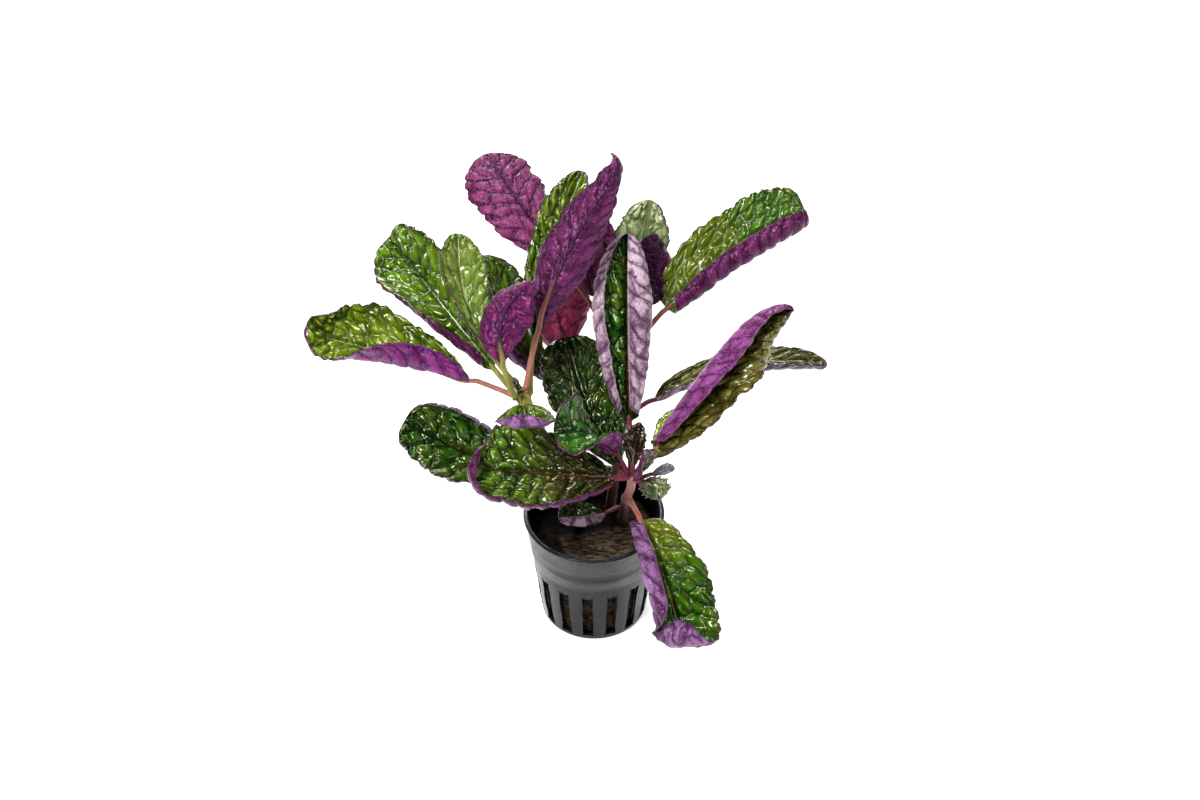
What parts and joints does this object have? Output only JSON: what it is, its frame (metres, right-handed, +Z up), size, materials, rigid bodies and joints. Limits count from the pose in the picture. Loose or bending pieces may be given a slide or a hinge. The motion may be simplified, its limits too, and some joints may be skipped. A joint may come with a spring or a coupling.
{
  "type": "purple waffle plant in a net pot",
  "caption": "Potted aquarium plant with puckered, glossy green leaves, purple underneath, on pinkish stems rooted in a rockwool plug in a slotted black net pot.",
  "frame": {"origin": "centre of the flat underside of the net pot, on the surface it stands on", "axes": "+Z up along the pot's axis, -Y towards the front of the plant, +X to its right seen from the front"},
  "size_m": [0.1781, 0.1325, 0.1655],
  "materials": {
    "pot_plastic": "satin",
    "rockwool": "matte",
    "stem": "satin",
    "leaf_green": "gloss",
    "leaf_purple": "satin"
  },
  "bodies": {
    "root": {"net_pot": "pot_plastic", "rockwool_plug": "rockwool", "stem_front": "stem", "stem_left": "stem", "stem_back": "stem", "leaf_far_left": "leaf_green", "leaf_upper_left": "leaf_green", "leaf_young_left": "leaf_green", "leaf_behind_left": "leaf_green", "leaf_small_purple": "leaf_purple", "leaf_top_left": "leaf_purple", "leaf_top": "leaf_purple", "leaf_behind_top": "leaf_green", "leaf_upper_centre": "leaf_purple", "leaf_back_centre": "leaf_purple", "leaf_broad_centre": "leaf_green", "leaf_upright_centre": "leaf_green", "leaf_pale_back": "leaf_green", "leaf_dark_back": "leaf_purple", "leaf_upper_right": "leaf_green", "leaf_far_right": "leaf_green", "leaf_right": "leaf_green", "leaf_short_right": "leaf_green", "leaf_lower_left": "leaf_green", "leaf_front": "leaf_green", "leaf_cupped": "leaf_green", "leaf_below_left_node": "leaf_green", "leaf_tip_dark": "leaf_green", "leaf_tip_purple": "leaf_purple", "leaf_tip_toothed": "leaf_green", "leaf_over_pot": "leaf_green", "leaf_lower_right": "leaf_green", "leaf_tip_pale": "leaf_purple", "bud_left": "leaf_green"}
  },
  "joints": []
}
